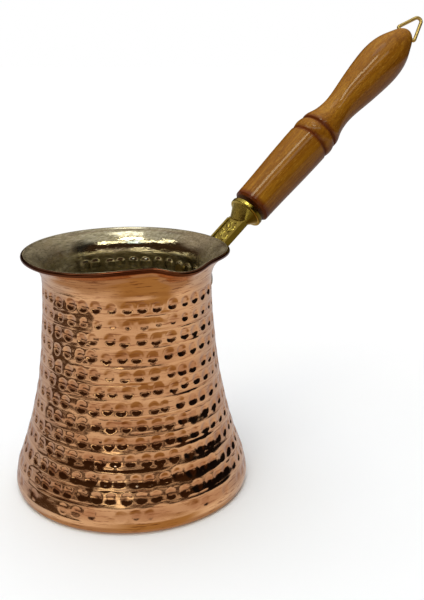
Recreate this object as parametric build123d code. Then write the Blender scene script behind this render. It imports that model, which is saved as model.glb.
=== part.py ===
from build123d import *
import math
import os

# Turkish coffee pot (cezve): a copper pot with a rolled rim and a pinched pouring lip, a tin lining,
# a cast brass bracket riveted to its neck, and a turned wooden handle with a wire hanging loop.
#
# Millimetres. The origin is the centre of the pot's flat base, +Z is up, the handle rises towards +X
# and the lip points along -Y.

# ---------------------------------------------------------------- driving dimensions
wall = 1.2                      # copper sheet
tin = 0.4                       # tin coat inside, drawn thicker than it is so that it stays solid
base_radius = 44.3              # flat that the pot stands on
base_corner = [(45.8, 0.6), (46.5, 1.8), (46.7, 3.3)]               # radius, height
body_outline = [(46.1, 8.0), (42.8, 18.0), (38.7, 32.0), (35.4, 48.0), (33.6, 64.0), (32.6, 76.0)]
neck_radius = 32.4              # outer radius where the flare starts
neck_height = 82.0
flare_length = 13.9             # slant from the neck to the middle of the rolled rim
flare_lean = 30.5               # degrees that the plain rim leans out
flare_power = 3.4               # how late the flare turns outwards
bead_radius = 0.85              # rolled rim
seam_step = 0.08                # how far the flare sits inside the neck's wall where they meet
lining_step = 0.1               # the same for the lining

# The pouring lip: two pinches beside it let the flare stand up straighter, and the lip leans out.
# Each is an azimuth, its spread before and after that azimuth, and the degrees of lean it adds.
pinches = [(-108.0, 24.0, 7.0, -20.0), (-66.0, 9.0, 17.0, -8.0), (-88.0, 8.0, 8.0, 1.6)]
plain_rim_step = 12.0           # degrees between the flare's sections where the rim is plain
lip_rim_step = 5.0              # and where it is shaped
shaped_rim = (200.0, 340.0)     # azimuths between which the rim is shaped

# the handle's line, in the plane y = 0
handle_rise = 37.3              # degrees above level
wood_start = (60.9, 103.7)      # x, z of the wood's near end
wood_length = 115.4

# cast bracket
plate_thickness = 1.8
plate_lobe_radius = 3.5
plate_root = (0.0, 81.6, 5.8)   # y, z and radius of the plate round the shank's root
shank_width = 10.4
shank_thickness = 2.4
border_width = 1.1              # raised borders along the shank's top
border_height = 0.45
collar_width = 15.4
collar_height = 14.6
collar_thickness = 2.2
collar_edge = 0.6
collar_gap = 1.6                # bare stud between the collar and the wood
boss_length = 5.0
boss_root = (5.0, 1.7)          # half width and half height of the boss where it meets the shank
boss_end = (6.9, 6.4)

# rivets
rivet_radius = 1.4
rivet_head_radius = 2.2
rivet_head_height = 1.0
rivet_places = {"rivet_left": (8.3, 80.3), "rivet_right": (-8.3, 80.3), "rivet_low": (0.0, 72.4)}

# threaded stud
stud_radius = 2.5
stud_in_wood = 32.0
stud_in_boss = 4.4

# hanging loop
wire_radius = 0.8
loop_depth = 1.9                # hinge line below the wood's tip
loop_half_width = 5.0
loop_reach = 11.3               # from the hinge line to the middle of the wire at the top
loop_top_radius = 1.7
loop_bend_radius = 0.9
loop_twist = 52.4               # degrees that the hinge line is turned about the handle
pin_inner = 1.5                 # where the bent-in ends stop, from the handle's line
pin_clearance = 0.05
pin_hole_end = 1.2

# ---------------------------------------------------------------- the handle's own frame
rise = math.radians(handle_rise)
along = Vector(math.cos(rise), 0, math.sin(rise))
across = Vector(0, 1, 0)
handle_frame = Plane(origin=(wood_start[0], 0, wood_start[1]), x_dir=across, z_dir=along)

twist = math.radians(loop_twist)
hinge_direction = Vector(math.cos(twist), math.sin(twist), 0)       # in the handle's own frame
loop_plane = Plane(origin=(0, 0, wood_length - loop_depth), x_dir=hinge_direction,
                   z_dir=Vector(math.sin(twist), -math.cos(twist), 0))


# ---------------------------------------------------------------- the pot's shape
def radial(azimuth, radius, height):
    """The point at an azimuth, a distance from the pot's axis and a height."""
    turn = math.radians(azimuth)
    return Vector(radius * math.cos(turn), radius * math.sin(turn), height)


def lean_at(azimuth):
    """How far the flare leans out at an azimuth, in degrees."""
    lean = flare_lean
    for centre, before, after, change in pinches:
        away = (azimuth - centre + 180.0) % 360.0 - 180.0
        spread = before if away < 0 else after
        lean += change * math.exp(-0.5 * (away / spread) ** 2)
    return lean


def flare_line(azimuth, t):
    """Radius, height and slope of the sheet's middle on the flare, t from 0 at the neck to 1."""
    lean = math.radians(lean_at(azimuth))
    up, out = flare_length * math.cos(lean), flare_length * math.sin(lean)
    spread = max(t, 0.0)
    radius = neck_radius - wall / 2 + out * spread ** flare_power
    slope = math.atan2(out * flare_power * spread ** (flare_power - 1), up)
    return radius, neck_height + up * t, slope


def beside_flare(azimuth, t, off):
    """The point beside the flare's middle, off outwards from it."""
    radius, height, slope = flare_line(azimuth, t)
    return radial(azimuth, radius + off * math.cos(slope), height - off * math.sin(slope))


def rim_section(azimuth):
    """The flare's cross-section at an azimuth, with the rolled bead on its edge."""
    half = wall / 2 - seam_step
    back = math.sqrt(bead_radius ** 2 - half ** 2)
    radius, height, slope = flare_line(azimuth, 1.0)

    def near_rim(forward, off):
        return radial(azimuth, radius + forward * math.sin(slope) + off * math.cos(slope),
                      height + forward * math.cos(slope) - off * math.sin(slope))

    steps = (-0.08, 0.2, 0.45, 0.65, 0.8)
    outer = [beside_flare(azimuth, t, half) for t in steps] + [near_rim(-back, half)]
    inner = [beside_flare(azimuth, t, -half) for t in steps] + [near_rim(-back, -half)]
    return Wire([
        Edge.make_spline(outer),
        Edge.make_three_point_arc(outer[-1], near_rim(bead_radius, 0), inner[-1]),
        Edge.make_spline(inner[::-1]),
        Edge.make_line(inner[0], outer[0]),
    ])


def lining_section(azimuth):
    """The cross-section of the tin coat on the flare at an azimuth."""
    near = -(wall / 2 + lining_step)
    far = -(wall / 2 + tin - lining_step)
    steps = (-0.08, 0.2, 0.45, 0.65, 0.8, 0.93)
    outer = [beside_flare(azimuth, t, near) for t in steps]
    inner = [beside_flare(azimuth, t, far) for t in steps]
    return Wire([
        Edge.make_spline(outer),
        Edge.make_line(outer[-1], inner[-1]),
        Edge.make_spline(inner[::-1]),
        Edge.make_line(inner[0], outer[0]),
    ])


def flare_ring(section):
    """A cross-section carried all the way round the pot."""
    azimuths = []
    azimuth = 0.0
    while azimuth < 360.0:
        azimuths.append(azimuth)
        shaped = shaped_rim[0] <= azimuth < shaped_rim[1]
        azimuth += lip_rim_step if shaped else plain_rim_step
    wires = [section(azimuth) for azimuth in azimuths]
    return Solid.make_loft(wires + [wires[0]])


def side_line(inset):
    """The body's side outline in the plane y = 0 at an inset, from the floor up to the neck."""
    points = [(base_radius, 0.0)] + base_corner + body_outline + [(neck_radius, neck_height)]
    outer = Edge.make_spline([Vector(x, 0, z) for x, z in points])
    if inset == 0:
        return outer
    steps = 24
    places = []
    for i in range(1, steps):
        tangent = outer.tangent_at(i / steps)
        places.append(outer.position_at(i / steps) + Vector(-tangent.Z, 0, tangent.X) * inset)
    sides = [place for place in places if place.Z > inset + 1.5]
    foot = Vector(base_radius - 0.3, 0, inset)
    return Edge.make_spline([foot] + sides + [Vector(neck_radius - inset, 0, neck_height)])


def turned_shell(outer_inset, inner_inset):
    """The turned body's floor and side between two insets."""
    outer, inner = side_line(outer_inset), side_line(inner_inset)
    low, high = Vector(0, 0, outer_inset), Vector(0, 0, inner_inset)
    outline = Wire([
        Edge.make_line(low, outer @ 0),
        outer,
        Edge.make_line(outer @ 1, inner @ 1),
        inner,
        Edge.make_line(inner @ 0, high),
        Edge.make_line(high, low),
    ])
    return revolve(Face(outline), axis=Axis.Z)


# ---------------------------------------------------------------- rivets
def rivet(y, z):
    """A rivet through plate, pot and lining, square to the neck, with a head on each side."""
    outer_seat = neck_radius + plate_thickness
    inner_seat = neck_radius - wall - tin
    reach = rivet_head_height
    shank = Cylinder(rivet_radius, outer_seat - inner_seat + 0.8)
    shank = Pos(0, 0, (outer_seat + inner_seat) / 2) * shank
    dome_radius = (rivet_head_radius ** 2 + reach ** 2) / (2 * reach)
    cap = Sphere(dome_radius) & Pos(0, 0, dome_radius - reach / 2) * Box(9, 9, reach)
    head = Pos(0, 0, outer_seat + reach - dome_radius) * cap
    foot = Pos(0, 0, outer_seat - 0.15) * Cylinder(rivet_head_radius, 0.3)
    inside = Pos(0, 0, inner_seat - 0.2) * Cylinder(rivet_head_radius, 0.6)
    body = shank + head + foot + inside
    azimuth = math.degrees(math.asin(y / outer_seat))
    return Rot(0, 0, azimuth) * (Pos(0, 0, z) * (Rot(0, 90, 0) * body))


# ---------------------------------------------------------------- sub-parts
def neck_outline(off, low, high):
    """The neck's and flare's outer outline in the plane y = 0, off outwards, between two heights."""
    points = [(radius, height) for radius, height in body_outline if height >= low]
    points += [(neck_radius, neck_height)]
    plain_azimuth = 90.0
    for t in (0.15, 0.3, 0.42, 0.52, 0.6):
        radius, height, _ = flare_line(plain_azimuth, t)
        if height <= high:
            points.append((radius + wall / 2, height))
    return [Vector(radius + off, 0, height) for radius, height in points]


def neck_band(near, far, low, high):
    """A band round the neck between two distances from its outer surface; near None fills it."""
    outer = neck_outline(far, low, high)
    if near is None:
        inner = [Vector(0, 0, outer[0].Z), Vector(0, 0, outer[-1].Z)]
        inner_edge = Edge.make_line(inner[1], inner[0])
    else:
        inner = neck_outline(near, low, high)
        inner_edge = Edge.make_spline(inner[::-1])
    outline = Wire([
        Edge.make_spline(outer),
        Edge.make_line(outer[-1], inner[-1]),
        inner_edge,
        Edge.make_line(inner[0], outer[0]),
    ])
    return revolve(Face(outline), axis=Axis.Z)


def handle_bracket():
    """The cast brass saddle plate, flat shank, boss and collar, in one piece."""
    lobes = [(y, z, plate_lobe_radius) for y, z in rivet_places.values()] + [plate_root]
    circles = [Edge.make_circle(radius, Plane(origin=(y, z, 0))) for y, z, radius in lobes]
    outline = make_hull(circles)
    face = Plane(origin=(20, 0, 0), x_dir=(0, 1, 0), z_dir=(1, 0, 0)) * outline
    plate = extrude(face, amount=25) & neck_band(0.02, plate_thickness, 60, 90)

    collar_face = -collar_gap - collar_thickness
    boss_start = collar_face - boss_length
    shank_start = -wood_start[0] / math.cos(rise) + neck_radius / math.cos(rise)
    length = boss_start - shank_start + 1.0
    middle = (shank_start + boss_start + 1.0) / 2
    shank = Pos(0, 0, middle) * Box(shank_width, shank_thickness, length)
    for side in (-1, 1):
        border = Box(border_width, border_height * 2, length - 2.0)
        place = Pos(side * (shank_width - border_width) / 2, shank_thickness / 2, middle)
        shank += place * border
    shank = handle_frame.location * shank
    shank -= neck_band(None, 0.02, 60, 91)

    boss = Solid.make_loft([
        Wire([Edge.make_ellipse(*boss_root, plane=Plane.XY.offset(boss_start))]),
        Wire([Edge.make_ellipse(*boss_end, plane=Plane.XY.offset(collar_face + 0.3))]),
    ])
    disc = extrude(Plane.XY.offset(collar_face) * Ellipse(collar_width / 2, collar_height / 2),
                   amount=collar_thickness)
    disc = fillet(disc.edges(), collar_edge)
    end = handle_frame.location * (boss + disc)
    return plate + shank + end


def handle_stud():
    """The threaded stud that joins bracket and wood."""
    length = stud_in_boss + collar_gap + stud_in_wood
    middle = stud_in_wood - length / 2
    return handle_frame.location * (Pos(0, 0, middle) * Cylinder(stud_radius, length))


def wood_outline():
    """The turned outline of the wood: distance from its near end and radius."""
    barrel = [(0.9, 8.2), (12.0, 8.5), (24.0, 9.0), (36.0, 9.35), (39.3, 9.4)]
    bead = [(41.0, 9.1), (43.5, 9.6), (46.0, 9.15)]
    grip = [(47.5, 9.1), (49.6, 8.95), (51.8, 8.2), (54.8, 7.35), (58.0, 6.9), (61.5, 6.75),
            (66.0, 7.05), (71.0, 7.7), (77.0, 8.5), (84.0, 9.25), (91.5, 9.75), (98.9, 9.25),
            (103.5, 8.1), (108.4, 6.2), (112.0, 4.6), (114.0, 3.1), (115.1, 1.5),
            (wood_length, 0.0)]
    return barrel, bead, grip


def wooden_handle():
    """The turned wooden grip, bored for the stud and for the loop's ends."""
    barrel, bead, grip = [[Vector(radius, 0, s) for s, radius in line] for line in wood_outline()]
    near_edge = Vector(7.3, 0, 0)
    first_groove, second_groove = Vector(8.7, 0, 40.2), Vector(8.5, 0, 46.8)
    outline = Wire([
        Edge.make_line(Vector(0, 0, 0), near_edge),
        Edge.make_line(near_edge, barrel[0]),
        Edge.make_spline(barrel),
        Edge.make_line(barrel[-1], first_groove),
        Edge.make_line(first_groove, bead[0]),
        Edge.make_spline(bead),
        Edge.make_line(bead[-1], second_groove),
        Edge.make_line(second_groove, grip[0]),
        Edge.make_spline(grip),
        Edge.make_line(grip[-1], Vector(0, 0, 0)),
    ])
    wood = revolve(Face(outline), axis=Axis.Z)
    wood -= Pos(0, 0, stud_in_wood / 2) * Cylinder(stud_radius, stud_in_wood)
    for side in (-1, 1):
        hole = Cylinder(wire_radius + pin_clearance, 6.0)
        place = Plane(origin=loop_plane.origin + hinge_direction * side * (pin_hole_end + 3.0),
                      z_dir=hinge_direction)
        wood -= place.location * hole
    return handle_frame.location * wood


def hanging_loop():
    """The wire loop, its two ends bent inwards into the wood."""
    top_centre = loop_reach - loop_top_radius
    slant = math.acos(loop_top_radius / math.hypot(loop_half_width, top_centre))
    leg_lean = slant - math.atan2(top_centre, loop_half_width)
    corner = loop_half_width / math.tan(leg_lean)
    points = [(pin_inner, 0), (loop_half_width, 0), (0, corner), (-loop_half_width, 0),
              (-pin_inner, 0)]
    line = Wire.make_polygon([Vector(x, y, 0) for x, y in points], close=False)
    for x, y, radius in [(loop_half_width, 0, loop_bend_radius), (0, corner, loop_top_radius),
                         (-loop_half_width, 0, loop_bend_radius)]:
        bend = line.vertices().sort_by_distance(Vector(x, y, 0))[0]
        line = line.fillet_2d(radius, [bend])
    path = loop_plane.location * line
    section = Plane(origin=path @ 0, z_dir=path % 0) * Circle(wire_radius)
    return handle_frame.location * sweep(section, path=path)


def write(name, shape):
    export_step(shape, os.path.join("parts", name + ".step"))


os.makedirs("parts", exist_ok=True)

rivets = {name: rivet(y, z) for name, (y, z) in rivet_places.items()}
stud = handle_stud()
pot = turned_shell(0, wall) + flare_ring(rim_section)
lining = turned_shell(wall, wall + tin) + flare_ring(lining_section)
bracket = handle_bracket() - stud
for solid in rivets.values():
    pot -= solid
    lining -= solid
    bracket -= solid

write("pot_body", pot)
write("tin_lining", lining)
write("handle_bracket", bracket)
for name, solid in rivets.items():
    write(name, solid)
write("handle_stud", stud)
write("wooden_handle", wooden_handle())
write("hanging_loop", hanging_loop())
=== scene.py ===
import math

import bpy
import numpy as np
from mathutils import Matrix, Vector


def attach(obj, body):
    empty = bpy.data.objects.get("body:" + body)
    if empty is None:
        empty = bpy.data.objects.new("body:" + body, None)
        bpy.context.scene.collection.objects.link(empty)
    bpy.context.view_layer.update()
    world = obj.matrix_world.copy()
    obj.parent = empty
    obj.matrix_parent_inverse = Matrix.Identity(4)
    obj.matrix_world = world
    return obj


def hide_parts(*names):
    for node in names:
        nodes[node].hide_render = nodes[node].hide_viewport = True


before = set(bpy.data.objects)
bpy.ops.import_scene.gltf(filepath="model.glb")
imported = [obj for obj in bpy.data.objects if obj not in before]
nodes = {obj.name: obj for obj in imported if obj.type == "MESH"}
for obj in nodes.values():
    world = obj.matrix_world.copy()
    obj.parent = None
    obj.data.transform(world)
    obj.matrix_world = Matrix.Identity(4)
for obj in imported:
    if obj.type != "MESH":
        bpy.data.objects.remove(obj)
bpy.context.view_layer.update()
MM = 0.001

# ---------------------------------------------------------------- the pot's sizes
WALL = 1.2 * MM
TIN = 0.4 * MM
BASE_RADIUS = 44.3 * MM
BASE_HOLLOW = 0.35 * MM                        # how far the base's middle stands off the table
# radius and height in mm, up the corner of the base and then up the side
BASE_CORNER = [(44.3, 0.0), (45.8, 0.6), (46.5, 1.8), (46.68, 3.3)]
BODY_OUTLINE = [(46.68, 3.3), (46.1, 8.0), (42.8, 18.0), (38.7, 32.0), (35.4, 48.0),
                (33.6, 64.0), (32.6, 76.0), (32.4, 82.0)]
NECK_RADIUS = 32.4 * MM
NECK_HEIGHT = 82.0 * MM
FLARE_LENGTH = 13.9 * MM
FLARE_LEAN = 30.5                              # degrees
FLARE_POWER = 3.4
BEAD_RADIUS = 0.85 * MM
BEAD_RINGS = 13
# the lip: azimuth, spread before and after it, and change of the flare's lean, in degrees
PINCHES = [(-108.0, 24.0, 7.0, -20.0), (-66.0, 9.0, 17.0, -8.0), (-88.0, 8.0, 8.0, 1.6)]

# ---------------------------------------------------------------- hammering
HAMMER_TOP = 81.9 * MM
HAMMER_PITCH = 6.2 * MM
HAMMER_ROWS = 13
HAMMER_SPACING = 5.55 * MM
ROW_SCATTER = 0.35                             # of a row's height, in mm
SIDE_SCATTER = 0.35 * MM                       # of a mark along its row
LIFT_SCATTER = 0.22 * MM                       # of a mark up or down
DEPTH_SPREAD, SIZE_SPREAD = (0.75, 1.15), (0.92, 1.06)
# the second row is struck unevenly; the last but one is weak, and the last faint with gaps
UNEVEN_DEPTH, UNEVEN_SIZE = (0.4, 1.0), (0.65, 0.95)
WEAK_DEPTH, FAINT_DEPTH, FAINT_SHARE = 0.75, 0.45, 0.6
PUNCH_RADIUS = 2.08 * MM
PUNCH_DEPTH = 0.20 * MM
PUNCH_REACH = 3.6 * MM                         # no mark matters further than this from its row
EDGE_START, EDGE_END = 0.62, 1.06              # where a mark's edge rises, in its radii
DISH = 1.05                                    # how much a mark's floor is rounded
RIDGE_PLACE, RIDGE_WIDTH, RIDGE_HEIGHT = 1.14, 0.3 * MM, 0.012 * MM
NECK_GAIN = 0.45                               # how much deeper the top rows are struck
NECK_GAIN_ROWS = 6                             # how many rows share that
BUMP_GAIN = 1.8                                # how high the marks' backs stand inside
BUMP_GROW = 0.2 * MM                           # how much wider the marks are inside
VALLEY_TOP, VALLEY_FOOT = 0.08 * MM, 0.17 * MM
VALLEY_SPREAD = 0.48 * HAMMER_PITCH
LINE_DEPTH = 0.15 * MM
LINE_WIDTH = 0.2 * MM
LINE_SCATTER = 0.4                             # of a turned line's height, in mm
# grooves round the flare: distance from the rim, depth and width, in mm
FLARE_GROOVES = [(2.7, 0.12, 0.3), (5.2, 0.05, 0.25), (6.4, 0.06, 0.25),
                 (7.3, 0.05, 0.25), (9.3, 0.07, 0.25), (10.0, 0.06, 0.25)]

# ---------------------------------------------------------------- where the rings of the meshes are
COLUMNS = 430
LINING_COLUMNS = 300
RING_GAP = 0.27 * MM                           # rings of the side are never closer than this
BASE_SHARES = (0.06, 0.35, 0.65, 0.86, 0.95, 0.985)
SIDE_START, SIDE_END = 3.2 * MM, NECK_HEIGHT - 0.2 * MM
FOOT_LEVELS = (3.3, 3.65, 3.9, 4.2, 4.6, 4.9, 5.2)                            # in mm
ROW_STEPS = np.arange(-2.2, 2.3, 0.49)         # from a row of marks, in mm
LINE_STEPS = (-0.32, -0.1, 0.1, 0.32)          # from a turned line, in mm
FLARE_STEPS = [0.0, 0.03, 0.06, 0.09, 0.12, 0.15, 0.18, 0.22, 0.28, 0.34, 0.4, 0.46, 0.52,
               0.57, 0.62, 0.66, 0.7, 0.74, 0.77, 0.79, 0.81, 0.84, 0.87, 0.9, 0.925]
HIDDEN_LEVELS = (70, 48, 25, 12, 5)            # between copper and tin, in mm
HIDDEN_SHARES = (0.94, 0.5, 0.05)
# the tin's edge on the bead: turn in radians, and reach past the bead in mm
TIN_EDGE = [(-1.15, -0.1), (-1.15, 0.05), (-1.35, 0.06), (-1.6, 0.06), (-1.9, 0.06), (-2.2, 0.06)]
TIN_STEPS = [0.945, 0.92, 0.88, 0.84, 0.8, 0.76, 0.72, 0.68, 0.64, 0.6, 0.55, 0.5, 0.45,
             0.4, 0.35, 0.3, 0.26, 0.22, 0.18, 0.14, 0.1, 0.07, 0.04, 0.01]
TIN_THIN_FROM, TIN_THIN = 0.93, 0.6            # the tin thins towards the bead
TIN_TOP, TIN_FOOT, TIN_RING = 81.6, 6.0, 0.62                                 # in mm
TIN_FILLET = 4.2 * MM
TIN_FLOOR_SHARES = (0.96, 0.9, 0.8, 0.68, 0.55, 0.4, 0.25, 0.1, 0.02)

# ---------------------------------------------------------------- the handle's line
HANDLE_RISE = math.radians(37.3)
WOOD_LENGTH = 115.4 * MM
WOOD_START = Vector((60.9, 0.0, 103.7)) * MM
SHANK_THICKNESS = 2.4 * MM
ALONG = Vector((math.cos(HANDLE_RISE), 0, math.sin(HANDLE_RISE)))
OVER = Vector((-math.sin(HANDLE_RISE), 0, math.cos(HANDLE_RISE)))
ACROSS = Vector((0, 1, 0))
HANDLE_FRAME = Matrix((ACROSS, OVER, ALONG)).transposed().to_4x4()
HANDLE_FRAME.translation = WOOD_START

random = np.random.default_rng(11)


# ---------------------------------------------------------------- the pot's outline
def natural_spline(xs, ys):
    """The natural cubic spline through points, as a function that gives values and slopes."""
    xs, ys = np.asarray(xs, float), np.asarray(ys, float)
    n, h = len(xs), np.diff(xs)
    matrix, right = np.eye(n), np.zeros(n)
    for i in range(1, n - 1):
        matrix[i, i - 1:i + 2] = h[i - 1], 2 * (h[i - 1] + h[i]), h[i]
        right[i] = 6 * ((ys[i + 1] - ys[i]) / h[i] - (ys[i] - ys[i - 1]) / h[i - 1])
    bend = np.linalg.solve(matrix, right)

    def at(x):
        x = np.asarray(x, float)
        i = np.clip(np.searchsorted(xs, x) - 1, 0, n - 2)
        a, b = xs[i + 1] - x, x - xs[i]
        value = ((bend[i] * a ** 3 + bend[i + 1] * b ** 3) / (6 * h[i])
                 + (ys[i] / h[i] - bend[i] * h[i] / 6) * a
                 + (ys[i + 1] / h[i] - bend[i + 1] * h[i] / 6) * b)
        slope = ((bend[i + 1] * b ** 2 - bend[i] * a ** 2) / (2 * h[i])
                 + (ys[i + 1] - ys[i]) / h[i] - (bend[i + 1] - bend[i]) * h[i] / 6)
        return value, slope

    return at


side_radius = natural_spline([z * MM for _, z in BODY_OUTLINE], [r * MM for r, _ in BODY_OUTLINE])


def lean_at(azimuth):
    """How far the flare leans out at each azimuth, in radians."""
    lean = np.full_like(azimuth, FLARE_LEAN)
    for centre, before, after, change in PINCHES:
        away = (azimuth - centre + 180.0) % 360.0 - 180.0
        spread = np.where(away < 0, before, after)
        lean = lean + change * np.exp(-0.5 * (away / spread) ** 2)
    return np.radians(lean)


def flare_line(azimuth, t):
    """Radius, height and slope of the sheet's middle on the flare, t from 0 at the neck to 1."""
    lean = lean_at(azimuth)
    up, out = FLARE_LENGTH * np.cos(lean), FLARE_LENGTH * np.sin(lean)
    t = np.maximum(t, 0.0)
    radius = NECK_RADIUS - WALL / 2 + out * t ** FLARE_POWER
    slope = np.arctan2(out * FLARE_POWER * t ** (FLARE_POWER - 1), up)
    return radius, NECK_HEIGHT + up * t, slope


def beside_flare(azimuth, t, off):
    """Radius, height and slope at a distance from the sheet's middle, outwards if positive."""
    radius, height, slope = flare_line(azimuth, t)
    return radius + off * np.cos(slope), height - off * np.sin(slope), slope


def round_bead(azimuth, turn, size):
    """Radius and height on a circle of that size round the bead's middle."""
    radius, height, slope = flare_line(azimuth, 1.0)
    forward, off = size * math.cos(turn), size * math.sin(turn)
    return (radius + forward * np.sin(slope) + off * np.cos(slope),
            height + forward * np.cos(slope) - off * np.sin(slope))


def waves(azimuth, height, seed, size, turns=(2, 9), pitch=0.02, count=7):
    """A smooth hand-made unevenness that closes on itself round the pot."""
    source = np.random.default_rng(seed)
    total = 0.0
    for _ in range(count):
        around_pot = source.integers(*turns)
        phase = source.uniform(0, 2 * math.pi)
        rise = source.uniform(-1, 1) * 2 * math.pi / pitch
        total = total + np.sin(np.radians(azimuth) * around_pot + height * rise + phase)
    return size * total / count ** 0.5


def ring_waves(azimuth, seed, size, turns=(2, 9)):
    """The same unevenness, but equal at every height."""
    return waves(azimuth, np.zeros_like(azimuth), seed, size, turns)


# ---------------------------------------------------------------- hammering
class Punches:
    """Where every punch mark is, row by row."""

    def __init__(self):
        self.rows = []
        for k in range(HAMMER_ROWS):
            height = HAMMER_TOP - k * HAMMER_PITCH + random.uniform(-ROW_SCATTER, ROW_SCATTER) * MM
            radius = float(side_radius(min(height, NECK_HEIGHT))[0])
            count = int(round(2 * math.pi * radius / HAMMER_SPACING))
            angle = (np.arange(count) + random.uniform(0, 1)) * 2 * math.pi / count
            angle = angle + random.normal(0, SIDE_SCATTER, count) / radius
            lift = random.normal(0, LIFT_SCATTER, count)
            gain = 1 + NECK_GAIN * max(0, 1 - k / NECK_GAIN_ROWS)
            depth = PUNCH_DEPTH * random.uniform(*DEPTH_SPREAD, count) * gain
            size = PUNCH_RADIUS * random.uniform(*SIZE_SPREAD, count)
            if k == HAMMER_ROWS - 1:
                depth = depth * (random.random(count) < FAINT_SHARE) * FAINT_DEPTH
            elif k == HAMMER_ROWS - 2:
                depth = depth * WEAK_DEPTH
            elif k == 1:
                depth = depth * random.uniform(*UNEVEN_DEPTH, count)
                size = size * random.uniform(*UNEVEN_SIZE, count)
            self.rows.append((height, count, angle, lift, depth, size))

    def field(self, azimuth, height, radius, inside=False):
        """The depth of the marks over a grid; inside, the plain and wider bumps that they raise."""
        grow = BUMP_GROW if inside else 0.0
        turn = np.radians(azimuth) % (2 * math.pi)
        depth = np.zeros_like(height)
        for row_height, count, angles, lifts, depths, sizes in self.rows:
            near = np.abs(height - row_height) < PUNCH_REACH
            if not near.any():
                continue
            step = 2 * math.pi / count
            first = np.floor((turn - angles[0]) / step).astype(int)
            for shift in (-1, 0, 1, 2):
                i = (first + shift) % count
                across = (turn - angles[i] + math.pi) % (2 * math.pi) - math.pi
                away = np.hypot(across * radius, height - row_height - lifts[i])
                q = away / (sizes[i] + grow)
                edge = np.clip((EDGE_END - q) / (EDGE_END - EDGE_START), 0, 1)
                mark = depths[i] * edge ** 2 * (3 - 2 * edge)
                if not inside:
                    mark = mark + depths[i] * DISH * np.clip(1 - q ** 2, 0, None)
                    ridge = np.exp(-((away - sizes[i] * RIDGE_PLACE) / RIDGE_WIDTH) ** 2)
                    mark = mark - RIDGE_HEIGHT * ridge * (depths[i] > 0)
                depth = np.where(near & (np.abs(mark) > np.abs(depth)), mark, depth)
        return depth


punches = Punches()
row_heights = [row[0] for row in punches.rows]
line_heights = []
for upper, lower in zip(row_heights, row_heights[1:]):
    line_heights.append((upper + lower) / 2 + random.uniform(-LINE_SCATTER, LINE_SCATTER) * MM)


def turned_lines(azimuth, height):
    """Fine grooves left by turning, one between each two rows."""
    depth = np.zeros_like(height)
    for i, line in enumerate(line_heights):
        drift = ring_waves(azimuth, 40 + i, 0.12 * MM, turns=(1, 4))
        fade = np.clip(0.75 + ring_waves(azimuth, 70 + i, 0.45), 0.1, 1.3)
        depth += LINE_DEPTH * fade * np.exp(-((height - line - drift) / LINE_WIDTH) ** 2)
    return depth


def flare_grooves(height, from_rim):
    """Grooves round the flare that keep their distance from the rim."""
    depth = np.zeros_like(height)
    for distance, deep, wide in FLARE_GROOVES:
        depth += deep * MM * np.exp(-((from_rim - distance * MM) / (wide * MM)) ** 2)
    return depth * (height > NECK_HEIGHT - 2 * MM)


def row_valleys(azimuth, height):
    """The trough along each row of marks, deeper towards the foot and uneven round the pot."""
    depth = np.zeros_like(height)
    for row_height in row_heights:
        trough = np.clip(1 - ((height - row_height) / VALLEY_SPREAD) ** 2, 0, None)
        seed = int(row_height * 1e5)
        strength = np.clip(0.8 + ring_waves(azimuth, seed, 0.35, turns=(2, 14)), 0.2, 1.4)
        deep = VALLEY_FOOT + (VALLEY_TOP - VALLEY_FOOT) * row_height / HAMMER_TOP
        depth += deep * strength * trough
    return depth * (height < NECK_HEIGHT + 2 * MM)


def hand_work(azimuth, height, from_rim):
    """The unevenness of the whole sheet, rougher below the neck and on the flare."""
    uneven = waves(azimuth, height, 5, 0.05 * MM, turns=(3, 12), pitch=0.012)
    uneven = uneven + waves(azimuth, height, 6, 0.05 * MM, turns=(1, 5), pitch=0.05)
    hammered = waves(azimuth, height, 8, 0.03 * MM, turns=(5, 34), pitch=0.0026)
    uneven = uneven + hammered * np.clip((NECK_HEIGHT + 1 * MM - height) / (2 * MM), 0, 1)
    on_flare = np.clip((height - NECK_HEIGHT) / (9 * MM), 0, 1)
    on_flare = on_flare * np.clip(from_rim / (2 * MM), 0, 1)
    uneven = uneven + on_flare * waves(azimuth, height, 7, 0.07 * MM, turns=(4, 16), pitch=0.006)
    above_foot = np.clip((height - 4 * MM) / (4 * MM), 0, 1)
    return np.clip(uneven + 0.1 * MM, 0.0, None) * above_foot


# ---------------------------------------------------------------- mesh helpers
def new_object(name, points, faces):
    """A smooth mesh object in the scene."""
    mesh = bpy.data.meshes.new(name)
    mesh.from_pydata(points, [], faces)
    mesh.update()
    mesh.shade_smooth()
    made = bpy.data.objects.new(name, mesh)
    bpy.context.scene.collection.objects.link(made)
    return made


class Rings:
    """Rings round the pot's axis, each with the direction that its surface is moved along."""

    def __init__(self, columns):
        self.azimuth = np.arange(columns) * 360.0 / columns
        self.rows = []

    def add(self, radius, height, normal_r=0.0, normal_z=0.0):
        values = (radius, height, normal_r, normal_z)
        self.rows.append([np.broadcast_to(value, self.azimuth.shape) for value in values])

    def grids(self):
        """Azimuth, radius, height and the normal's two parts, each as rings by columns."""
        data = np.array(self.rows)
        azimuths = np.broadcast_to(self.azimuth, data[:, 0].shape)
        return azimuths, *(data[:, i].copy() for i in range(4))


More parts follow.
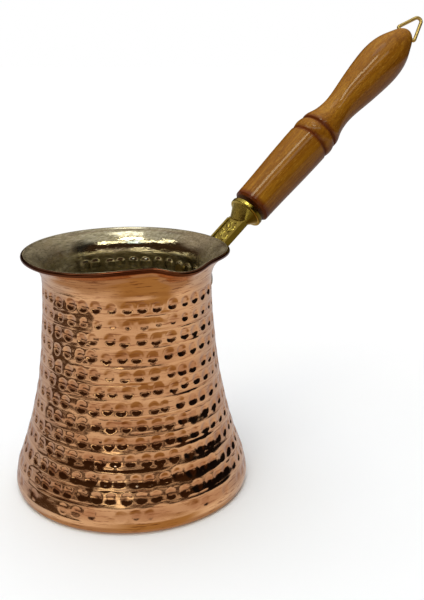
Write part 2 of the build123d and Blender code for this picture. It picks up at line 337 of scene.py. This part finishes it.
def ring_mesh(name, azimuths, radii, heights):
    """A closed mesh through a grid of rings, with a fan of faces at each end."""
    turn = np.radians(azimuths)
    grid = np.stack([radii * np.cos(turn), radii * np.sin(turn), heights], axis=-1)
    rows, columns = heights.shape
    i, j = np.meshgrid(np.arange(rows - 1), np.arange(columns), indexing="ij")
    beside = (j + 1) % columns
    corners = [i * columns + j, i * columns + beside, (i + 1) * columns + beside, (i + 1) * columns + j]
    faces = np.stack(corners, axis=-1).reshape(-1, 4).tolist()
    points = grid.reshape(-1, 3).tolist()
    for ring in (0, rows - 1):
        middle = len(points)
        start = ring * columns
        points.append([float(np.mean(grid[ring, :, axis])) for axis in range(3)])
        for column in range(columns):
            pair = [start + column, start + (column + 1) % columns]
            faces.append(pair[::-1] + [middle] if ring == 0 else pair + [middle])
    return new_object(name, points, faces)


def add_attribute(made, name, values):
    """A per-point number that the piece's material reads."""
    data = np.zeros(len(made.data.vertices), np.float32)
    flat = np.asarray(values, np.float32).reshape(-1)
    data[:len(flat)] = flat
    attribute = made.data.attributes.new(name, "FLOAT", "POINT")
    attribute.data.foreach_set("value", data)


# ---------------------------------------------------------------- pot
def side_heights():
    """Ring heights up the side: closer at the punch rows and round each turned line."""
    heights = [level * MM for level in FOOT_LEVELS]
    for row in row_heights:
        heights += [row + step * MM for step in ROW_STEPS]
    for line in line_heights:
        heights += [line + step * MM for step in LINE_STEPS]
    heights = sorted(h for h in heights if SIDE_START < h < SIDE_END)
    kept = [heights[0]]
    for height in heights[1:]:
        if height - kept[-1] > RING_GAP:
            kept.append(height)
    return np.array(kept)


def pot_surface():
    """The copper pot: flat base, hammered side, flare with its lip, rolled bead and inner wall."""
    rings = Rings(COLUMNS)
    azimuth = rings.azimuth
    for share in BASE_SHARES:
        rings.add(BASE_RADIUS * share, BASE_HOLLOW * (1 - share ** 4))
    corner = np.array(BASE_CORNER) * MM
    along = np.linspace(0, 1, len(corner))
    corner_r, corner_z = natural_spline(along, corner[:, 0]), natural_spline(along, corner[:, 1])
    for u in np.linspace(0, 0.92, 8):
        rings.add(corner_r(u)[0], corner_z(u)[0])
    side_start = len(rings.rows)
    for height in side_heights():
        radius, slope = side_radius(height)
        length = math.hypot(1.0, slope)
        rings.add(radius, height, 1.0 / length, -slope / length)
    for t in FLARE_STEPS:
        radius, height, slope = beside_flare(azimuth, t, WALL / 2)
        rings.add(radius, height, np.cos(slope), -np.sin(slope))
    bead_start = len(rings.rows)
    seam = math.asin(WALL / 2 / BEAD_RADIUS)
    for turn in np.linspace(math.pi - seam, -(math.pi - seam), BEAD_RINGS):
        rings.add(*round_bead(azimuth, turn, BEAD_RADIUS))
    for t in (0.88, 0.6, 0.2):
        rings.add(*beside_flare(azimuth, t, -WALL / 2)[:2])
    for level in HIDDEN_LEVELS:
        rings.add(side_radius(level * MM)[0] - WALL, level * MM)
    for share in HIDDEN_SHARES:
        rings.add(BASE_RADIUS * share, WALL)

    azimuths, radii, heights, out, up = rings.grids()
    worked, bead = slice(side_start, bead_start), slice(bead_start, bead_start + BEAD_RINGS)
    a, z = azimuths[worked], heights[worked]
    lean = lean_at(azimuth)
    from_rim = (NECK_HEIGHT + FLARE_LENGTH * np.cos(lean) - z) / np.cos(lean)
    marks = punches.field(a, z, radii[worked])
    lines = turned_lines(a, z) + flare_grooves(z, from_rim) + row_valleys(a, z)
    inset = marks + lines + hand_work(a, z, from_rim)
    shade_and_dark_bead = np.zeros_like(radii)
    # painted shade: the turned lines, the flare's grooves, the row troughs and the punch marks are
    # darkened; the bead is set much darker still
    shade_and_dark_bead[worked] = np.clip(lines / LINE_DEPTH, 0, 1) * 0.8 + np.clip(marks / PUNCH_DEPTH, 0, 1) * 0.25
    shade_and_dark_bead[bead] = 2.0
    radii[worked] -= inset * out[worked]
    heights[worked] -= inset * up[worked]
    made = ring_mesh("copper_pot", azimuths, radii, heights)
    add_attribute(made, "shade_and_dark_bead", shade_and_dark_bead)
    return made


def lining_surface():
    """The tin coat: the hidden skin on the copper, then the flare, the bumpy wall and the floor."""
    rings = Rings(LINING_COLUMNS)
    azimuth = rings.azimuth
    inner = WALL + TIN
    floor_gap, wall_gap, flare_gap = 0.05 * MM, 0.02 * MM, 0.03 * MM
    for share in reversed(HIDDEN_SHARES):
        rings.add(BASE_RADIUS * share, WALL + floor_gap)
    for level in reversed(HIDDEN_LEVELS):
        rings.add(side_radius(level * MM)[0] - WALL - wall_gap, level * MM)
    for t in (0.1, 0.5, 0.8, 0.93):
        rings.add(*beside_flare(azimuth, t, -(WALL / 2 + flare_gap))[:2])
    for turn, reach in TIN_EDGE:
        rings.add(*round_bead(azimuth, turn, BEAD_RADIUS + reach * MM))
    for t in TIN_STEPS:
        thickness = TIN * (1.0 if t < TIN_THIN_FROM else TIN_THIN)
        radius, height, slope = beside_flare(azimuth, t, -(WALL / 2 + thickness))
        rings.add(radius, height, -np.cos(slope), np.sin(slope))
    for height in np.arange(TIN_TOP, TIN_FOOT, -TIN_RING) * MM:
        rings.add(side_radius(height)[0] - inner, height, -1.0, 0.0)
    foot_radius = float(side_radius(TIN_FOOT * MM)[0]) - inner
    for turn in np.linspace(0.15, math.pi / 2, 8):
        rings.add(foot_radius - TIN_FILLET + TIN_FILLET * math.cos(turn),
                  inner + TIN_FILLET * (1 - math.sin(turn)))
    for share in TIN_FLOOR_SHARES:
        rings.add((foot_radius - TIN_FILLET) * share, inner, 0.0, 1.0)

    azimuths, radii, heights, out, up = rings.grids()
    wall = out < -0.5
    seen = np.abs(out) + np.abs(up) > 0.5
    bumps = BUMP_GAIN * punches.field(azimuths, heights, radii, inside=True) * wall
    uneven = waves(azimuths, heights, 21, 0.04 * MM, turns=(3, 14), pitch=0.02)
    uneven = uneven * np.clip(radii / (30 * MM), 0, 1) ** 2
    spun = 0.015 * MM * np.sin(radii / (1.1 * MM)) * (up > 0.5)
    rise = (bumps + np.clip(uneven, 0, None)) * seen
    radii += rise * out
    heights += rise * up + spun
    made = ring_mesh("tin_coat", azimuths, radii, heights)
    bright = np.cos(np.radians(azimuths) - math.radians(45))
    add_attribute(made, "wiped", np.clip((0.75 - bright) / 0.25, 0, 1))
    return made


# ---------------------------------------------------------------- relief on the bracket
# all of these are in mm; places along the handle count from where the wood starts
RELIEF_START, RELIEF_END = -26.5, -9.6
RELIEF_HALF_WIDTH = 3.9
RELIEF_HEIGHT = 0.42
RELIEF_SKIN, RELIEF_SINK = 0.04, 0.4           # how far its two skins start below the face
RELIEF_FADE = 0.8
STEM_SWING, STEM_TURNS = 0.9, 1.05
STEM_HEIGHT, STEM_WIDTH = 0.26, 0.42
LEAF_COUNT, LEAF_FIRST, LEAF_SPACING = 7, 1.4, 2.45
LEAF_TILT = math.radians(38)
LEAF_SIDE, LEAF_FORWARD = 2.1, 0.9             # from its root on the stem to its middle
LEAF_LENGTH, LEAF_WIDTH = 1.75, 0.85
VEIN_DEPTH, VEIN_WIDTH = 0.12, 0.16
BUD_SIDE, BUD_FORWARD, BUD_RADIUS, BUD_HEIGHT = 2.5, 0.4, 0.7, 0.34


def leaf_height(side, along):
    """Height of a winding stem with leaves and buds to both sides."""
    stem_side = STEM_SWING * np.sin(along * STEM_TURNS)
    height = STEM_HEIGHT * np.exp(-((side - stem_side) / STEM_WIDTH) ** 2)
    cos, sin = math.cos(LEAF_TILT), math.sin(LEAF_TILT)
    for k in range(LEAF_COUNT):
        root = RELIEF_START + LEAF_FIRST + LEAF_SPACING * k
        hand = 1 if k % 2 else -1
        across, forward = side - hand * LEAF_SIDE, along - root - LEAF_FORWARD
        along_leaf = forward * cos + hand * across * sin
        off_leaf = across * cos - hand * forward * sin
        body = 1 - (along_leaf / LEAF_LENGTH) ** 2 - (off_leaf / LEAF_WIDTH) ** 2
        body = np.clip(body, 0, 1) ** 0.6
        vein = VEIN_DEPTH * np.exp(-(off_leaf / VEIN_WIDTH) ** 2)
        height = np.maximum(height, (RELIEF_HEIGHT - vein) * body)
        bud = np.hypot(side + hand * BUD_SIDE, along - root - BUD_FORWARD)
        height = np.maximum(height, BUD_HEIGHT * np.clip(1 - (bud / BUD_RADIUS) ** 2, 0, 1) ** 0.5)
    return height


def relief_surface():
    """Cast foliage between the shank's raised borders, as one closed skin sunk into the face."""
    side = np.linspace(-RELIEF_HALF_WIDTH, RELIEF_HALF_WIDTH, 60)
    along = np.linspace(RELIEF_START, RELIEF_END, 130)
    side, along = np.meshgrid(side, along)
    from_start = np.clip((along - RELIEF_START) / RELIEF_FADE, 0, 1)
    from_end = np.clip((RELIEF_END - along) / RELIEF_FADE, 0, 1)
    lift = leaf_height(side, along) * (from_start * from_end) - RELIEF_SKIN
    face = SHANK_THICKNESS / 2
    points, faces = [], []
    rows, columns = side.shape
    for height in (lift * MM + face, np.full_like(lift, -RELIEF_SINK * MM) + face):
        for i in range(rows):
            for j in range(columns):
                local = Vector((side[i, j] * MM, height[i, j], along[i, j] * MM))
                points.append(HANDLE_FRAME @ local)
    under = rows * columns
    for i in range(rows - 1):
        for j in range(columns - 1):
            a, d = i * columns + j, (i + 1) * columns + j
            b, c = a + 1, d + 1
            faces += [(d, c, b, a), (under + a, under + b, under + c, under + d)]
    edge = list(range(columns)) + [i * columns + columns - 1 for i in range(1, rows)]
    edge += [(rows - 1) * columns + j for j in range(columns - 2, -1, -1)]
    edge += [i * columns for i in range(rows - 2, 0, -1)]
    for a, b in zip(edge, edge[1:] + edge[:1]):
        faces.append((a, b, under + b, under + a))
    return new_object("bracket_relief", points, faces)


# ---------------------------------------------------------------- materials
class Graph:
    """Short calls for building a node tree; a value is a socket, a number or a colour."""

    def __init__(self, tree):
        self.tree = tree

    def add(self, kind, **settings):
        node = self.tree.nodes.new(kind)
        for key, value in settings.items():
            setattr(node, key, value)
        return node

    def put(self, value, socket):
        if isinstance(value, bpy.types.NodeSocket):
            self.tree.links.new(value, socket)
        elif socket.type == "RGBA":
            socket.default_value = (*value, 1.0)
        else:
            socket.default_value = value

    def fill(self, node, **values):
        """Set a node's inputs by name, with _ for a space."""
        for name, value in values.items():
            self.put(value, node.inputs[name.replace("_", " ")])

    def maths(self, operation, *values):
        node = self.add("ShaderNodeMath", operation=operation)
        for value, socket in zip(values, node.inputs):
            self.put(value, socket)
        return node.outputs["Value"]

    def remap(self, value, low, high, at_low=0.0, at_high=1.0, **settings):
        node = self.add("ShaderNodeMapRange", **settings)
        self.fill(node, Value=value, From_Min=low, From_Max=high, To_Min=at_low, To_Max=at_high)
        return node.outputs["Result"]

    def mix(self, factor, a, b):
        node = self.add("ShaderNodeMix", data_type="RGBA")
        self.fill(node, Factor=factor, A=a, B=b)
        return node.outputs["Result"]


class Material(Graph):
    """A material's node tree, ending in its one shader."""

    def __init__(self, name):
        self.material = bpy.data.materials.new(name)
        self.material.use_nodes = True
        super().__init__(self.material.node_tree)
        self.shader = self.tree.nodes["Principled BSDF"]

    def coordinates(self, rotation=(0, 0, 0), scale=(1, 1, 1)):
        node = self.add("ShaderNodeMapping")
        place = self.add("ShaderNodeTexCoord").outputs["Object"]
        self.fill(node, Vector=place, Rotation=rotation, Scale=scale)
        return node.outputs["Vector"]

    def noise(self, vector, scale, detail=4.0, roughness=0.5, distortion=0.0):
        node = self.add("ShaderNodeTexNoise")
        self.fill(node, Vector=vector, Scale=scale, Detail=detail, Roughness=roughness,
                  Distortion=distortion)
        return node.outputs["Fac"]

    def attribute(self, name):
        return self.add("ShaderNodeAttribute", attribute_name=name).outputs["Fac"]

    def ramp(self, factor, stops):
        node = self.add("ShaderNodeValToRGB")
        elements = node.color_ramp.elements
        while len(elements) < len(stops):
            elements.new(0.5)
        for element, (place, colour) in zip(elements, stops):
            element.position = place
            element.color = (*colour, 1.0)
        self.fill(node, Fac=factor)
        return node.outputs["Color"]

    def two_tone(self, factor, first, second):
        """From one colour to the other over the middle of a noise's range."""
        return self.ramp(factor, [(0.3, first), (0.7, second)])

    def bump(self, height, strength, distance, normal=None):
        node = self.add("ShaderNodeBump")
        self.fill(node, Height=height, Strength=strength, Distance=distance)
        if normal is not None:
            self.fill(node, Normal=normal)
        return node.outputs["Normal"]

    def surface(self, **values):
        self.fill(self.shader, **values)
        return self.material


def copper():
    """Bright copper with turning streaks, painted shade in the grooves and marks, and a much darker
    bead.
    """
    m = Material("copper")
    patches = m.noise(m.coordinates(), scale=45, detail=3)
    streak = m.noise(m.coordinates(scale=(1, 1, 11)), scale=160, roughness=0.6)
    fine = m.noise(m.coordinates(scale=(1, 1, 60)), scale=220, detail=3, roughness=0.6)
    shade_and_dark_bead = m.attribute("shade_and_dark_bead")
    streaked, groove_shade, bead_dark = (0.33, 0.125, 0.055), (0.42, 0.17, 0.08), (0.10, 0.028, 0.012)
    colour = m.two_tone(patches, (0.86, 0.52, 0.30), (0.94, 0.62, 0.39))
    colour = m.mix(m.remap(streak, 0.55, 0.66, 0.0, 0.8), colour, streaked)
    # painted shade: darker in the grooves and marks, and on the bead
    colour = m.mix(m.remap(shade_and_dark_bead, 0.0, 1.4), colour, groove_shade)
    patchy = m.remap(patches, 0.35, 0.65, 1.0, 0.75)
    # the bead is made much darker, in patches
    colour = m.mix(m.maths("MULTIPLY", m.remap(shade_and_dark_bead, 1.1, 1.8), patchy), colour, bead_dark)
    normal = m.bump(streak, 0.05, 0.2 * MM, m.bump(fine, 0.03, 0.2 * MM))
    return m.surface(Base_Color=colour, Roughness=m.remap(streak, 0.3, 0.75, 0.06, 0.13),
                     Normal=normal, Metallic=1.0)


def tin():
    """Wiped tin: soft grey with an olive cast, streaks round the pot and pale and dark flecks."""
    m = Material("tin")
    patches = m.noise(m.coordinates(), scale=60, detail=3)
    streak = m.noise(m.coordinates(scale=(1, 1, 10)), scale=90, roughness=0.6)
    flecks = m.noise(m.coordinates(rotation=(0, 0, 0.6), scale=(1, 3, 6)), scale=330, roughness=0.7)
    dull = m.noise(m.coordinates(), scale=120, roughness=0.6)
    uneven = m.noise(m.coordinates(scale=(1, 1, 3)), scale=70, roughness=0.6)
    streaked, pale_fleck, dark_fleck = (0.30, 0.27, 0.20), (0.93, 0.88, 0.80), (0.30, 0.26, 0.19)
    colour = m.two_tone(patches, (0.64, 0.58, 0.39), (0.80, 0.75, 0.58))
    colour = m.mix(m.remap(streak, 0.48, 0.68, 0.0, 0.7), colour, streaked)
    colour = m.mix(m.remap(flecks, 0.52, 0.66, 0.0, 0.8), colour, pale_fleck)
    colour = m.mix(m.remap(flecks, 0.48, 0.36, 0.0, 0.6), colour, dark_fleck)
    matt = m.maths("MULTIPLY", m.attribute("wiped"), m.remap(dull, 0.35, 0.6, 0.24, 0.46))
    roughness = m.maths("ADD", matt, m.remap(streak, 0.3, 0.7, 0.08, 0.16))
    normal = m.bump(uneven, 0.3, 1.0 * MM, m.bump(streak, 0.08, 0.3 * MM))
    return m.surface(Base_Color=colour, Roughness=roughness, Normal=normal, Metallic=1.0)


def brass(name, first, second, dark, rough, cast):
    """Brass; cast sets how pitted it is and how much painted shade darkens the faces turned to the
    sides.
    """
    m = Material(name)
    cloud = m.noise(m.coordinates(), scale=260, roughness=0.6)
    pits = m.noise(m.coordinates(), scale=900, detail=5, roughness=0.6)
    facing = m.add("ShaderNodeSeparateXYZ")
    m.fill(facing, Vector=m.add("ShaderNodeTexCoord").outputs["Normal"])
    side_shade_mask = m.maths("ABSOLUTE", facing.outputs["Y"])
    colour = m.two_tone(cloud, first, second)
    colour = m.mix(m.remap(pits, 0.50, 0.72, 0.0, cast), colour, dark)
    # painted shade: the faces turned to the sides are darkened towards the dark colour
    colour = m.mix(m.remap(side_shade_mask, 0.45, 0.85, 0.0, 1.6 * cast), colour, dark)
    return m.surface(Base_Color=colour, Roughness=m.remap(cloud, 0.3, 0.7, rough, rough + 0.12),
                     Normal=m.bump(pits, 0.10 * cast, 0.3 * MM), Metallic=1.0)


GRAIN_STRETCH = 0.06                           # the grain is this much slower along the handle
# where the wood is darker, as shares of its length: its end, then each groove with
# the offsets at which the darkening starts, is full, is still full and ends
DARK_END, END_FADE = 0.012, 0.016
DARK_GROOVES = [(0.348, (-0.016, -0.005, 0.004, 0.016)),
                   (0.4055, (-0.014, -0.004, 0.005, 0.020))]


def wood():
    """Honey-coloured varnished wood with grain along the handle and dark turned grooves."""
    m = Material("varnished_wood")
    source = m.add("ShaderNodeTexCoord").outputs["Object"]
    places = []
    for axis, start in ((ACROSS, 0.0), (OVER, -WOOD_START.dot(OVER)), (ALONG, -WOOD_START.dot(ALONG))):
        dot = m.add("ShaderNodeVectorMath", operation="DOT_PRODUCT")
        m.put(source, dot.inputs[0])
        m.put(axis, dot.inputs[1])
        places.append(m.maths("ADD", dot.outputs["Value"], start))
    side, over, along = places
    stretched = m.add("ShaderNodeCombineXYZ")
    m.fill(stretched, X=side, Y=over, Z=m.maths("MULTIPLY", along, GRAIN_STRETCH))
    grain_space = stretched.outputs["Vector"]
    grain = m.noise(grain_space, scale=1500, detail=5, roughness=0.65, distortion=0.2)
    pores = m.noise(grain_space, scale=3600, detail=3, roughness=0.7)
    bands = m.noise(grain_space, scale=260, detail=3, distortion=0.8)
    colour = m.ramp(bands, [(0.3, (0.17, 0.060, 0.003)), (0.5, (0.25, 0.098, 0.005)),
                            (0.7, (0.32, 0.145, 0.010))])
    dark_grain, pale_pore, darkened = (0.13, 0.036, 0.003), (0.55, 0.30, 0.05), (0.10, 0.015, 0.004)
    colour = m.mix(m.remap(grain, 0.45, 0.72, 0.0, 0.6), colour, dark_grain)
    colour = m.mix(m.remap(pores, 0.56, 0.70, 0.0, 0.55), colour, pale_pore)
    full, none = (1.0, 1.0, 1.0), (0.0, 0.0, 0.0)
    stops = [(0.0, full), (DARK_END, full), (DARK_END + END_FADE, none)]
    for groove, offsets in DARK_GROOVES:
        stops += [(groove + offset, darkening) for offset, darkening in zip(offsets, (none, full, full, none))]
    stops.append((1.0, none))
    # the end and the bands round the two grooves are made darker
    darkening = m.ramp(m.maths("DIVIDE", along, WOOD_LENGTH), stops)
    colour = m.mix(m.maths("MULTIPLY", darkening, 0.85), colour, darkened)
    return m.surface(Base_Color=colour, Roughness=m.remap(grain, 0.3, 0.8, 0.38, 0.5),
                     Normal=m.bump(grain, 0.08, 0.3 * MM), Metallic=0.0,
                     Specular_IOR_Level=0.06, Coat_Weight=0.4, Coat_Roughness=0.05)


def steel():
    """Dull steel with fine rings across the stud, like a thread; its near-black colour, darkest in the
    rings' troughs, is painted shade of the gap between collar and wood.
    """
    m = Material("stud_steel")
    rings = m.add("ShaderNodeTexWave", bands_direction="Z")
    m.fill(rings, Vector=m.coordinates(rotation=(0, -(math.pi / 2 - HANDLE_RISE), 0)), Scale=400.0)
    wave = rings.outputs["Fac"]
    # painted shade: near black, and darkest in the thread's troughs
    colour = m.ramp(wave, [(0.0, (0.05, 0.045, 0.04)), (1.0, (0.32, 0.30, 0.27))])
    return m.surface(Base_Color=colour, Roughness=0.45, Normal=m.bump(wave, 0.6, 0.4 * MM),
                     Metallic=1.0)


def floor_paint():
    """Pale paint near the pot that turns into the plain backdrop further out."""
    m = Material("floor_pale")
    away = m.add("ShaderNodeVectorMath", operation="LENGTH")
    m.put(m.coordinates(), away.inputs[0])
    far = m.remap(away.outputs["Value"], 0.045, 0.25)
    colour = m.mix(far, (0.84, 0.88, 0.96), (0.0, 0.0, 0.0))
    return m.surface(Base_Color=colour, Roughness=0.6, Metallic=0.0,
                     Emission_Color=(1.0, 1.0, 1.0), Emission_Strength=far)


def paint(thing, material):
    thing.data.materials.clear()
    thing.data.materials.append(material)


# ---------------------------------------------------------------- build
pot = pot_surface()
paint(pot, copper())
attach(pot, "pot")
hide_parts("pot_body")

lining = lining_surface()
paint(lining, tin())
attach(lining, "pot")
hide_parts("tin_lining")

cast_brass = brass("cast_brass", (0.62, 0.50, 0.10), (0.78, 0.65, 0.16), dark=(0.13, 0.095, 0.01),
                   rough=0.2, cast=0.6)
paint(nodes["handle_bracket"], cast_brass)
relief = relief_surface()
paint(relief, cast_brass)
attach(relief, "pot")
rivet_brass = brass("rivet_brass", (0.62, 0.46, 0.16), (0.74, 0.58, 0.24), dark=(0.2, 0.12, 0.03),
                    rough=0.3, cast=0.4)
for name in ("rivet_left", "rivet_right", "rivet_low"):
    paint(nodes[name], rivet_brass)
paint(nodes["handle_stud"], steel())
paint(nodes["wooden_handle"], wood())
loop_brass = brass("loop_brass", (0.66, 0.50, 0.17), (0.76, 0.60, 0.24), dark=(0.3, 0.2, 0.08),
                   rough=0.42, cast=0.0)
paint(nodes["hanging_loop"], loop_brass)

# ---------------------------------------------------------------- floor, light and camera
FLOOR_RADIUS, FLOOR_CORNERS = 4.0, 96
CAMERA_AZIMUTH = -121.4
CAMERA_DISTANCE = 315.4 * MM
CAMERA_HEIGHT = 174.3 * MM
CAMERA_HEADING, CAMERA_PITCH, CAMERA_ROLL = (math.radians(angle) for angle in (52.69, 17.61, 0.12))
CAMERA_LENS = 51.04


def around(azimuth, distance, height):
    turn = math.radians(azimuth)
    return Vector((distance * math.cos(turn), distance * math.sin(turn), height))


def floor_disc():
    """The pale floor; neither the metal's mirroring nor its soft light sees it, only the room."""
    corners = range(FLOOR_CORNERS)
    points = [around(360 * i / FLOOR_CORNERS, FLOOR_RADIUS, 0.0) for i in corners]
    made = new_object("floor", points, [tuple(corners)])
    made.visible_glossy = False
    made.visible_diffuse = False
    paint(made, floor_paint())


def softbox(name, place, target, side, power):
    """A square soft light that the metal doesn't mirror."""
    light = bpy.data.lights.new(name, "AREA")
    light.shape = "RECTANGLE"
    light.size = light.size_y = side
    light.energy = power
    made = bpy.data.objects.new(name, light)
    made.location = place
    direction = Vector(target) - place
    made.rotation_euler = direction.to_track_quat("-Z", "Y").to_euler()
    made.visible_glossy = False
    bpy.context.scene.collection.objects.link(made)


class Room(Graph):
    """What the metal mirrors: colours laid over each other by direction.

    Directions are in degrees: side runs round from the direction that the camera lies in, and
    lift is the height over the horizon.
    """

    def __init__(self, tree, colour):
        super().__init__(tree)
        generated = self.add("ShaderNodeTexCoord").outputs["Generated"]
        turned = self.add("ShaderNodeVectorRotate", rotation_type="Z_AXIS")
        self.fill(turned, Vector=generated, Angle=math.radians(-CAMERA_AZIMUTH))
        parts = self.add("ShaderNodeSeparateXYZ")
        self.fill(parts, Vector=turned.outputs["Vector"])
        self.side = self.degrees(self.maths("ARCTAN2", parts.outputs["Y"], parts.outputs["X"]))
        self.lift = self.degrees(self.maths("ARCSINE", parts.outputs["Z"]))
        self.colour = colour

    def degrees(self, angle):
        return self.maths("MULTIPLY", angle, 180 / math.pi)

    def both(self, first, second):
        return self.maths("MULTIPLY", first, second)

    def rise(self, value, low, high):
        return self.remap(value, low, high, interpolation_type="SMOOTHSTEP")

    def fall(self, value, low, high):
        return self.remap(value, low, high, 1.0, 0.0, interpolation_type="SMOOTHSTEP")

    def span(self, value, low, high, soft):
        return self.both(self.rise(value, low - soft, low + soft),
                         self.fall(value, high - soft, high + soft))

    def patch(self, side, lift, soft=1.0):
        """A mask over a range of side angles and a range of lifts."""
        return self.both(self.span(self.side, *side, soft), self.span(self.lift, *lift, soft))

    def lay(self, mask, colour):
        """Paint a colour over what is there."""
        self.colour = self.mix(mask, self.colour, colour)


def lay_table(room):
    """The pale table and floor in front, browner close to the pot, and a dark thing on the left."""
    room.lay(room.span(room.side, -88, 100, 22), (0.70, 0.59, 0.47))
    room.lay(room.fall(room.lift, -46, -30), (0.38, 0.26, 0.165))
    front = room.both(room.rise(room.side, -45, 5), room.fall(room.side, 50, 74))
    room.lay(room.both(front, room.span(room.lift, -60, -15, 4)), (0.37, 0.23, 0.09))
    room.lay(room.patch(side=(-118, -50), lift=(-18, -10), soft=0.8), (0.07, 0.04, 0.02))


def lay_walls(room):
    """The dark room over the table's far edge, blackest on the right, with some lit strips."""
    right = room.rise(room.side, 58, 68)
    front_lift, right_drop = 5.0, 1.6          # of the table's edge, in degrees
    edge = room.maths("MULTIPLY", room.span(room.side, -40, 75, 18), front_lift)
    edge = room.maths("SUBTRACT", edge, room.maths("MULTIPLY", right, right_drop))
    above = room.rise(room.maths("SUBTRACT", room.lift, edge), -4.5, -1.5)
    room.lay(above, (0.04, 0.020, 0.009))
    room.lay(room.both(above, right), (0.008, 0.007, 0.007))
    room.lay(room.patch(side=(-40, 45), lift=(7, 11.5)), (0.60, 0.50, 0.38))
    room.lay(room.patch(side=(-130, -45), lift=(2, 6.5)), (0.42, 0.33, 0.25))
    room.lay(room.patch(side=(-34, -8), lift=(7, 12)), (1.6, 1.45, 1.05))
    behind = room.maths("SUBTRACT", 1.0, room.span(room.side, -105, 105, 20))
    room.lay(room.both(behind, room.rise(room.lift, 18, 38)), (0.36, 0.30, 0.24))


def lay_ceiling(room):
    """A pale ceiling with a warm lamp, a cooler one, a small hot one and a soft one at the top."""
    room.lay(room.rise(room.lift, 45, 70), (0.52, 0.49, 0.42))
    room.lay(room.patch(side=(-95, 50), lift=(48, 56)), (3.0, 2.8, 2.1))
    room.lay(room.patch(side=(-26, 0), lift=(46, 57), soft=2.0), (2.2, 2.7, 3.0))
    room.lay(room.patch(side=(-40, 14), lift=(66, 72)), (11.0, 10.0, 7.0))
    room.lay(room.rise(room.lift, 79, 81), (1.9, 1.9, 1.8))


def studio_world():
    """The room as light and in mirrored rays; the camera itself sees a plain white backdrop."""
    world = bpy.data.worlds.new("studio")
    bpy.context.scene.world = world
    world.use_nodes = True
    world.node_tree.nodes.clear()
    room = Room(world.node_tree, (0.52, 0.49, 0.49))
    lay_table(room)
    lay_walls(room)
    lay_ceiling(room)
    lit, plain = room.add("ShaderNodeBackground"), room.add("ShaderNodeBackground")
    room.fill(lit, Color=room.colour)
    room.fill(plain, Color=(1.0, 1.0, 1.0))
    backdrop = room.add("ShaderNodeMixShader")
    room.fill(backdrop, Fac=room.add("ShaderNodeLightPath").outputs["Is Camera Ray"])
    room.put(lit.outputs["Background"], backdrop.inputs[1])
    room.put(plain.outputs["Background"], backdrop.inputs[2])
    room.fill(room.add("ShaderNodeOutputWorld"), Surface=backdrop.outputs["Shader"])


def camera():
    data = bpy.data.cameras.new("camera")
    data.sensor_width = 36.0
    data.lens = CAMERA_LENS
    data.clip_start, data.clip_end = 0.01, 20.0
    made = bpy.data.objects.new("camera", data)
    turn = (Matrix.Rotation(CAMERA_HEADING - math.pi / 2, 4, "Z")
            @ Matrix.Rotation(math.pi / 2 - CAMERA_PITCH, 4, "X")
            @ Matrix.Rotation(CAMERA_ROLL, 4, "Z"))
    made.matrix_world = Matrix.Translation(around(CAMERA_AZIMUTH, CAMERA_DISTANCE, CAMERA_HEIGHT)) @ turn
    bpy.context.scene.collection.objects.link(made)
    bpy.context.scene.camera = made


floor_disc()
studio_world()
softbox("top", around(75, 0.25, 1.0), target=(0, 0, 0.05), side=1.2, power=9.6)
softbox("front", around(-150, 0.9, 0.55), target=(0.05, 0, 0.1), side=0.6, power=2.5)
camera()
bpy.context.scene.view_settings.view_transform = "Standard"
